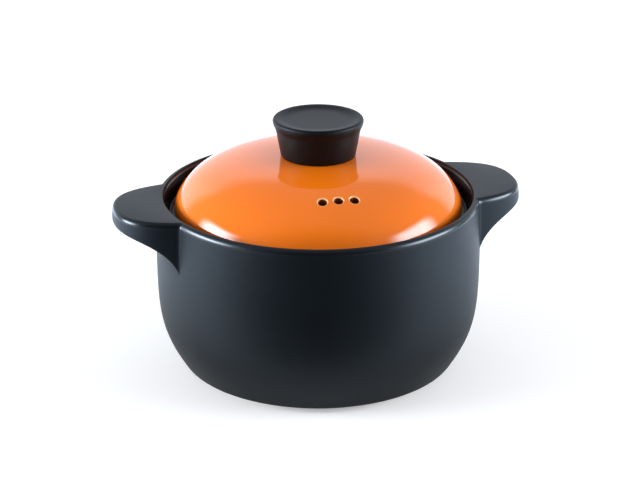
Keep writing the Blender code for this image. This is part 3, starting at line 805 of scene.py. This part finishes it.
def knob_section():
    """Section of the knob's outside, from the edge of its dished top down to its foot."""
    section = [(DISH_RADIUS, KNOB_HEIGHT - DISH_DEPTH)]
    edge = KNOB_CREST_RADIUS - DISH_RADIUS
    bowl = (DISH_RADIUS + edge * DISH_LEAD, KNOB_HEIGHT - DISH_DEPTH)
    brim = (KNOB_CREST_RADIUS - edge * CREST_LEAD, KNOB_HEIGHT)
    crest = (KNOB_CREST_RADIUS, KNOB_HEIGHT)
    section += curve((section[0], bowl, brim, crest), ROUND_STEPS, 1)
    lip = (KNOB_CREST_RADIUS, KNOB_LIP_HEIGHT)
    lip_width = KNOB_LIP_RADIUS - KNOB_CREST_RADIUS
    section += quarter(lip, lip_width, KNOB_HEIGHT - KNOB_LIP_HEIGHT, 90, 0, LIP_STEPS)[1:]
    neck = (KNOB_NECK_RADIUS, KNOB_NECK_HEIGHT)
    fall = KNOB_LIP_HEIGHT - KNOB_NECK_HEIGHT
    turn = (KNOB_LIP_RADIUS, KNOB_LIP_HEIGHT - fall * LIP_LEAD)
    ease_out = (KNOB_LIP_RADIUS - KNOB_NECK_RADIUS) * NECK_EASE
    ease = (KNOB_NECK_RADIUS + ease_out, KNOB_NECK_HEIGHT + fall * LIP_LEAD)
    section += curve((section[-1], turn, ease, neck), ROUND_STEPS, 1)
    foot = [(*neck, 0), (KNOB_FOOT_RADIUS, 0, KNOB_FOOT_EASE)]
    foot.append((KNOB_FOOT_RADIUS - KNOB_WALL / 2, 0, 0))
    return section + rounded(foot)[1:]


def boss_foot():
    """Height of the knob's inner boss, which stands on the gasket."""
    return GASKET_THICKNESS + SEAT_GAP


def pocket_outline(middle, height, base):
    """Outline, at one height, of a pocket between two ribs."""
    share = height / KNOB_NECK_HEIGHT
    outer = KNOB_FOOT_RADIUS + (KNOB_NECK_RADIUS - KNOB_FOOT_RADIUS) * share - KNOB_WALL
    outline = []
    for radius, order in ((outer, 1), (KNOB_BOSS_RADIUS, -1)):
        half = math.pi / KNOB_RIB_COUNT - math.asin(KNOB_RIB_WIDTH / 2 / radius)
        for i in range(POCKET_STEPS + 1):
            angle = middle + order * half * (2 * i / POCKET_STEPS - 1)
            outline.append((radius * math.cos(angle), radius * math.sin(angle), base + height))
    return outline


def make_knob(materials):
    """Knob, hollowed out from below between its ribs and round its boss."""
    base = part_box("knob")[0][2]
    mesh = turned_mesh("knob_body", knob_section(), KNOB_COLUMNS, base)
    knob = add_piece("knob_body", mesh, materials)
    roof = KNOB_HEIGHT - DISH_DEPTH - KNOB_ROOF
    cutters = []
    for i in range(KNOB_RIB_COUNT):
        middle = 2 * math.pi * (i + 0.5) / KNOB_RIB_COUNT
        outlines = [pocket_outline(middle, height, base) for height in (-KNOB_WALL, roof)]
        cutters.append(prism_mesh("knob_pocket", outlines))
    reach = KNOB_BOSS_RADIUS + KNOB_RIB_WIDTH
    relief = [(reach, boss_foot()), (reach, -KNOB_WALL)]
    cutters.append(turned_mesh("knob_relief", relief, BORE_COLUMNS, base))
    bore_radius = INSERT_RADIUS + SEAT_GAP
    bore = [(bore_radius, boss_foot() + INSERT_LENGTH + SEAT_GAP), (bore_radius, -KNOB_WALL)]
    cutters.append(turned_mesh("insert_bore", bore, BORE_COLUMNS, base))
    cut(knob, cutters)
    knob.data.set_sharp_from_angle(angle=math.radians(KNOB_SHARP_ANGLE))
    return knob


# Materials

# Sockets of a mix node for colours
MIX_SHARE = 0
MIX_COLOURS = (6, 7)
MIX_RESULT = 2


def math_node(tree, operation, first, second=0.0):
    """Output of a new maths node, whose inputs are numbers or other nodes' outputs."""
    node = tree.nodes.new("ShaderNodeMath")
    node.operation = operation
    for socket, value in zip(node.inputs, (first, second)):
        if isinstance(value, bpy.types.NodeSocket):
            tree.links.new(value, socket)
        else:
            socket.default_value = value
    return node.outputs[0]


def eased(tree, value, low, high, start=0.0, end=1.0):
    """Output that goes smoothly from start to end while a value goes from low to high."""
    node = tree.nodes.new("ShaderNodeMapRange")
    node.interpolation_type = "SMOOTHSTEP"
    tree.links.new(value, node.inputs["Value"])
    for socket, number in zip(("From Min", "From Max", "To Min", "To Max"), (low, high, start, end)):
        node.inputs[socket].default_value = number
    return node.outputs["Result"]


class Paint:
    """A new material on the Principled shader, and the nodes that vary it over the surface."""

    def __init__(self, name, **settings):
        self.material = bpy.data.materials.new(name)
        self.material.use_nodes = True
        self.tree = self.material.node_tree
        self.shader = self.tree.nodes["Principled BSDF"]
        for socket, value in settings.items():
            self.shader.inputs[socket.replace("_", " ")].default_value = value
        self.place = self.add("ShaderNodeTexCoord").outputs["Object"]

    def add(self, kind, settings=None, **inputs):
        """Node of a kind, with its settings and its inputs as numbers or other nodes' outputs."""
        node = self.tree.nodes.new(kind)
        for name, value in (settings or {}).items():
            setattr(node, name, value)
        for name, value in inputs.items():
            self.join(node.inputs[name.replace("_", " ")], value)
        return node

    def join(self, socket, value):
        """Give a socket a number, or another node's output."""
        if isinstance(value, bpy.types.NodeSocket):
            self.tree.links.new(value, socket)
        else:
            socket.default_value = value

    def noise(self, size, detail=2.0, roughness=0.5):
        """Smooth noise, from 0 to 1, whose lumps have about this size."""
        return self.add("ShaderNodeTexNoise", None, Vector=self.place, Scale=1 / size, Detail=detail,
                        Roughness=roughness).outputs["Fac"]

    def range(self, value, low, high, start, end):
        """Output that goes evenly from start to end while a value goes from low to high."""
        return self.add("ShaderNodeMapRange", None, Value=value, From_Min=low, From_Max=high,
                        To_Min=start, To_Max=end).outputs["Result"]

    def mix(self, share, first, second):
        """Colour between two colours."""
        node = self.add("ShaderNodeMix", {"data_type": "RGBA"})
        self.join(node.inputs[MIX_SHARE], share)
        for socket, colour in zip(MIX_COLOURS, (first, second)):
            self.join(node.inputs[socket], (*colour, 1) if isinstance(colour, tuple) else colour)
        return node.outputs[MIX_RESULT]

    def maths(self, operation, first, second=0.0):
        return math_node(self.tree, operation, first, second)

    def split(self):
        """Node whose outputs are the three parts of the place."""
        return self.add("ShaderNodeSeparateXYZ", None, Vector=self.place)

    def bump(self, height, depth):
        """Bump of a real depth in metres, on top of those before it."""
        node = self.add("ShaderNodeBump", None, Height=height, Distance=depth, Strength=1.0)
        normal = self.shader.inputs["Normal"]
        if normal.is_linked:
            self.join(node.inputs["Normal"], normal.links[0].from_socket)
        self.join(normal, node.outputs["Normal"])

    def set(self, socket, value):
        self.join(self.shader.inputs[socket], value)

    def set_colour(self, share, first, second):
        self.set("Base Color", self.mix(share, first, second))

    def set_roughness(self, noise, low, high):
        """Roughness that a noise carries from low to high."""
        self.set("Roughness", self.range(noise, *NOISE_SPREAD, low, high))


def stoneware_material():
    """Matt graphite glaze with a fine grain, shiny where it thins over the rim's outer edge."""
    paint = Paint("matt_graphite_stoneware", Specular_IOR_Level=0.34, IOR=1.5,
                  Specular_Tint=(0.76, 0.90, 1, 1), Coat_Roughness=0.12, Coat_IOR=1.5)
    cloud = paint.noise(0.03, 3)
    grain = paint.noise(0.0006, 2, 0.6)
    paint.set_colour(cloud, (0.0013, 0.0017, 0.0023), (0.0020, 0.0025, 0.0033))
    matt = paint.range(paint.maths("ADD", cloud, grain), 0.6, 1.4, 0.44, 0.50)
    height = paint.split().outputs["Z"]
    edge = eased(paint.tree, height, *(RIM_HEIGHT - depth for depth in SHINE_START))
    top = eased(paint.tree, height, *(RIM_HEIGHT - depth for depth in SHINE_END), 1, 0)
    shiny = paint.maths("MULTIPLY", edge, top)
    paint.set("Coat Weight", paint.maths("MULTIPLY", shiny, 0.34))
    paint.set("Roughness", paint.maths("SUBTRACT", matt, paint.maths("MULTIPLY", shiny, 0.20)))
    paint.bump(paint.noise(0.018, 1), 0.00012)
    paint.bump(grain, 0.00002)
    return paint.material


def dark_glaze_material():
    """Glossy brown-black glaze of the inside."""
    paint = Paint("dark_glaze", IOR=1.5, Specular_IOR_Level=0.03)
    cloud = paint.noise(0.02, 3)
    paint.set_colour(cloud, (0.0022, 0.0003, 0.0001), (0.0036, 0.0005, 0.0002))
    paint.set_roughness(cloud, 0.22, 0.30)
    paint.bump(paint.noise(0.008, 1), 0.00003)
    return paint.material


def clay_material():
    """Bare fired clay, gritty and pale."""
    paint = Paint("bare_clay", IOR=1.5, Specular_IOR_Level=0.3)
    grit = paint.noise(0.0008, 3, 0.7)
    cloud = paint.noise(0.02, 3)
    body = paint.mix(cloud, (0.24, 0.23, 0.21), (0.30, 0.285, 0.26))
    specks = eased(paint.tree, grit, 0.62, 0.70, 0, 0.6)
    paint.set_colour(specks, body, (0.12, 0.11, 0.10))
    paint.set_roughness(grit, 0.75, 0.95)
    paint.bump(grit, 0.00008)
    return paint.material


def orange_material():
    """Glossy orange glaze, a little uneven in thickness."""
    paint = Paint("orange_glaze", IOR=1.5)
    cloud = paint.noise(0.035, 3)
    paint.set_colour(cloud, (0.90, 0.172, 0.0042), (0.94, 0.190, 0.0060))
    paint.set_roughness(paint.noise(0.012, 2), 0.035, 0.06)
    paint.bump(paint.noise(0.010, 1), 0.00003)
    return paint.material


def shaded_bore_glaze_material():
    """Glaze that has run into the vents, darkened to a dull red-brown as painted shade inside the
    bores.
    """
    paint = Paint("bore_glaze_painted_shade", IOR=1.5, Specular_IOR_Level=0.2)
    cloud = paint.noise(0.002, 2)
    paint.set_colour(cloud, (0.13, 0.022, 0.004), (0.19, 0.034, 0.006))
    paint.set_roughness(cloud, 0.45, 0.55)
    return paint.material


def thin_glaze_material():
    """Orange glaze that has run off an edge and is pale where it is thin."""
    paint = Paint("thin_glaze", IOR=1.5)
    cloud = paint.noise(0.004, 2)
    paint.set_colour(cloud, (0.93, 0.46, 0.14), (0.96, 0.54, 0.20))
    paint.set_roughness(cloud, 0.06, 0.10)
    return paint.material


def phenolic_material():
    """Moulded black plastic with a fine satin texture."""
    paint = Paint("black_phenolic", IOR=1.5, Specular_IOR_Level=0.22,
                  Specular_Tint=(0.88, 0.95, 1, 1))
    grain = paint.noise(0.0005, 2, 0.6)
    cloud = paint.noise(0.01, 2)
    paint.set_colour(cloud, (0.0008, 0.0008, 0.0010), (0.0014, 0.0014, 0.0018))
    paint.set_roughness(grain, 0.44, 0.52)
    paint.bump(grain, 0.00001)
    return paint.material


def silicone_material():
    """Cloudy translucent rubber."""
    paint = Paint("clear_silicone", IOR=1.41, Subsurface_Weight=0.3, Subsurface_Scale=0.002)
    cloud = paint.noise(0.003, 2)
    paint.set_colour(cloud, (0.55, 0.55, 0.52), (0.66, 0.66, 0.63))
    paint.set_roughness(cloud, 0.42, 0.55)
    paint.bump(paint.noise(0.0006, 1), 0.00001)
    return paint.material


def metal_material(name, dark, light, low, high):
    """Turned metal with fine rings round its axis. Low and high are for its roughness."""
    paint = Paint(name, Metallic=1.0)
    place = paint.split().outputs
    squares = [paint.maths("MULTIPLY", place[axis], place[axis]) for axis in ("X", "Y")]
    radius = paint.maths("SQRT", paint.maths("ADD", *squares))
    waves = paint.maths("SINE", paint.maths("MULTIPLY", radius, 2 * math.pi / TURNING_PITCH))
    cloud = paint.noise(0.002, 3)
    paint.set_colour(cloud, dark, light)
    paint.set_roughness(cloud, low, high)
    paint.bump(waves, 0.000002)
    return paint.material


# Studio


def from_view(x, y, z):
    """Place in the camera's turned frame, as a place in the model's frame."""
    return Matrix.Rotation(math.radians(-VIEW_TURN), 3, "Z") @ Vector((x, y, z))


def bearing(azimuth, elevation, distance):
    """Place at a bearing in the camera's turned frame: 0 is to its right, 90 behind the pot."""
    a = math.radians(azimuth)
    e = math.radians(elevation)
    return from_view(math.cos(a) * math.cos(e), math.sin(a) * math.cos(e), math.sin(e)) * distance


def aim(thing, target):
    """Turn a lamp or camera so that it looks at the target, upright."""
    thing.rotation_euler = (target - thing.location).to_track_quat("-Z", "Y").to_euler()


def softbox(name, azimuth, elevation, wide, high, radiance, core):
    """Lamp that fills wide by high degrees of the pot's surroundings. Its core is the share of its
    width and height with the full radiance, which fades from there to its edges."""
    lamp = bpy.data.lights.new(name, "AREA")
    lamp.shape = "RECTANGLE"
    lamp.size = 2 * LAMP_DISTANCE * math.tan(math.radians(wide / 2))
    lamp.size_y = 2 * LAMP_DISTANCE * math.tan(math.radians(high / 2))
    lamp.energy = radiance * math.pi * lamp.size * lamp.size_y
    lamp.color = DAYLIGHT
    lamp.use_nodes = True
    tree = lamp.node_tree
    place = tree.nodes.new("ShaderNodeNewGeometry").outputs["Parametric"]
    split = tree.nodes.new("ShaderNodeSeparateXYZ")
    tree.links.new(place, split.inputs[0])
    middle = 0.5    # places on a lamp go from 0 to 1
    shares = []
    for axis in ("X", "Y"):
        offset = math_node(tree, "SUBTRACT", split.outputs[axis], middle)
        offset = math_node(tree, "ABSOLUTE", offset)
        shares.append(eased(tree, offset, core * middle, middle, 1, 0))
    tree.links.new(math_node(tree, "MULTIPLY", *shares), tree.nodes["Emission"].inputs["Strength"])
    thing = add_object(name, lamp)
    target = Vector((0, 0, RIM_HEIGHT))
    thing.location = target + bearing(azimuth, elevation, LAMP_DISTANCE)
    aim(thing, target)
    thing.visible_camera = False


def make_floor():
    """Pale floor, brightened to white where the camera sees it. Where a glossy surface sees it, it is
    brightened with a bluish glow that fades out near the pot: a painted reflection, with painted
    shade close to the pot.
    """
    paint = Paint("floor_white", Roughness=0.9, Specular_IOR_Level=0.1)
    paint.set_colour(paint.noise(0.5, 2), (0.83, 0.79, 0.745), (0.85, 0.81, 0.765))
    paths = paint.add("ShaderNodeLightPath").outputs
    direct = paint.maths("ADD", paths["Is Camera Ray"], paths["Is Transmission Ray"])
    mirrored = paths["Is Glossy Ray"]
    radius = paint.add("ShaderNodeVectorMath", {"operation": "LENGTH"}, Vector=paint.place)
    radius = radius.outputs["Value"]
    away = paint.range(radius, *FLOOR_DIM, 0, FLOOR_MIRRORED_LIFT)
    lift = paint.maths("MULTIPLY", direct, paint.range(radius, *FLOOR_FAR, FLOOR_LIFT, 1.0))
    lift = paint.maths("ADD", lift, paint.maths("MULTIPLY", mirrored, away))
    tint = paint.mix(mirrored, WHITE, MIRRORED_TINT)
    glow = paint.add("ShaderNodeEmission", None, Color=tint, Strength=lift)
    both = paint.add("ShaderNodeAddShader")
    paint.join(both.inputs[0], paint.shader.outputs["BSDF"])
    paint.join(both.inputs[1], glow.outputs["Emission"])
    out = paint.tree.nodes["Material Output"]
    paint.join(out.inputs["Surface"], both.outputs["Shader"])
    edge = [(FLOOR_RADIUS, FLOOR_TOP), (FLOOR_RADIUS, FLOOR_BOTTOM)]
    mesh = turned_mesh("floor", edge, FLOOR_COLUMNS, 0)
    mesh.materials.append(paint.material)
    floor = add_object("floor", mesh)


def make_flag():
    """Dark card on the floor in front of the picture's lower edge, only for glossy reflections."""
    paint = Paint("flag_black", Base_Color=(0.08, 0.10, 0.125, 1), Roughness=0.9,
                  Specular_IOR_Level=0.0)
    near = (FLAG_WIDTH / 2, -FLAG_NEAR)
    far = (FLAG_FAR_WIDTH / 2, -FLAG_FAR)
    places = ((-far[0], far[1]), far, near, (-near[0], near[1]))
    corners = [from_view(x, y, FLAG_HEIGHT) for x, y in places]
    mesh = bpy.data.meshes.new("flag")
    mesh.from_pydata(corners, [], [(0, 1, 2, 3)])
    mesh.materials.append(paint.material)
    flag = add_object("flag", mesh)
    flag.visible_camera = False
    flag.visible_shadow = False
    flag.visible_diffuse = False


def make_world():
    """Studio with a bright low backdrop, darker behind the camera. Seen directly it is white."""
    world = bpy.data.worlds.new("studio")
    world.use_nodes = True
    bpy.context.scene.world = world
    tree = world.node_tree
    background = tree.nodes["Background"]
    background.inputs["Color"].default_value = (*DAYLIGHT, 1)
    place = tree.nodes.new("ShaderNodeTexCoord").outputs["Generated"]

    def facing(direction, low, high):
        """How squarely a direction is faced, eased from 0 at low to 1 at high."""
        dot = tree.nodes.new("ShaderNodeVectorMath")
        dot.operation = "DOT_PRODUCT"
        tree.links.new(place, dot.inputs[0])
        dot.inputs[1].default_value = direction
        return eased(tree, dot.outputs["Value"], low, high)

    def times(share, amount):
        return math_node(tree, "MULTIPLY", share, amount)

    low = math_node(tree, "SUBTRACT", 1.0, facing((0, 0, 1), *BACK_TOP))
    back = times(facing(bearing(90, 0, 1), *BACK_SIDE), low)
    wings = [facing(bearing(azimuth, 0, 1), *WINGS) for azimuth in (0, 180)]
    dark = facing(bearing(-90, DARK_ELEVATION, 1), *DARK_SIDE)
    glow = times(math_node(tree, "ADD", *wings), STUDIO_WINGS)
    glow = math_node(tree, "ADD", glow, STUDIO_BACK - STUDIO_LIGHT)
    light = math_node(tree, "ADD", times(back, glow), STUDIO_LIGHT)
    light = math_node(tree, "SUBTRACT", light, times(dark, STUDIO_LIGHT - STUDIO_DARK))
    tree.links.new(light, background.inputs["Strength"])
    paths = tree.nodes.new("ShaderNodeLightPath").outputs
    direct = math_node(tree, "ADD", paths["Is Camera Ray"], paths["Is Transmission Ray"])
    white = tree.nodes.new("ShaderNodeBackground")
    white.inputs["Color"].default_value = (*WHITE, 1)
    choice = tree.nodes.new("ShaderNodeMixShader")
    for socket, source in zip(choice.inputs, (direct, background.outputs[0], white.outputs[0])):
        tree.links.new(source, socket)
    tree.links.new(choice.outputs[0], tree.nodes["World Output"].inputs["Surface"])


def make_camera():
    """Camera that sees the pot as in the photograph."""
    data = bpy.data.cameras.new("camera")
    data.sensor_width = SENSOR_WIDTH
    data.lens = FOCAL_LENGTH
    camera = add_object("camera", data)
    target = from_view(*VIEW_TARGET)
    camera.location = target + bearing(-90, VIEW_ELEVATION, VIEW_DISTANCE)
    aim(camera, target)
    bpy.context.scene.camera = camera


def main():
    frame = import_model()
    make_camera()

    matt = stoneware_material()
    clay = clay_material()
    pot = make_pot([matt, dark_glaze_material(), clay])
    lid = make_lid([orange_material(), shaded_bore_glaze_material(), clay, thin_glaze_material()])
    knob = make_knob([phenolic_material()])
    pieces = (
        (pot, "pot", "pot_body", "matt_graphite_stoneware"),
        (lid, "lid", "lid", "orange_glaze"),
        (knob, "lid", "knob", "black_phenolic"),
    )
    for piece, body, node, slot in pieces:
        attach(piece, body)
        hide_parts(node)

    brass = metal_material("brass", (0.62, 0.43, 0.17), (0.78, 0.57, 0.26), 0.28, 0.40)
    steel = metal_material("stainless_steel", (0.50, 0.50, 0.51), (0.66, 0.66, 0.67), 0.22, 0.34)
    silicone = silicone_material()
    small_pieces = {
        "knob_insert": brass,
        "knob_gasket": silicone,
        "screw_gasket": silicone,
        "screw_washer": steel,
        "knob_screw": steel,
    }
    for node, material in small_pieces.items():
        for slot in frame["nodes"][node].material_slots:
            slot.material = material

    make_floor()
    make_flag()
    make_world()
    for lamp in LAMPS:
        softbox(*lamp)
    bpy.context.scene.view_settings.view_transform = "Standard"


main()
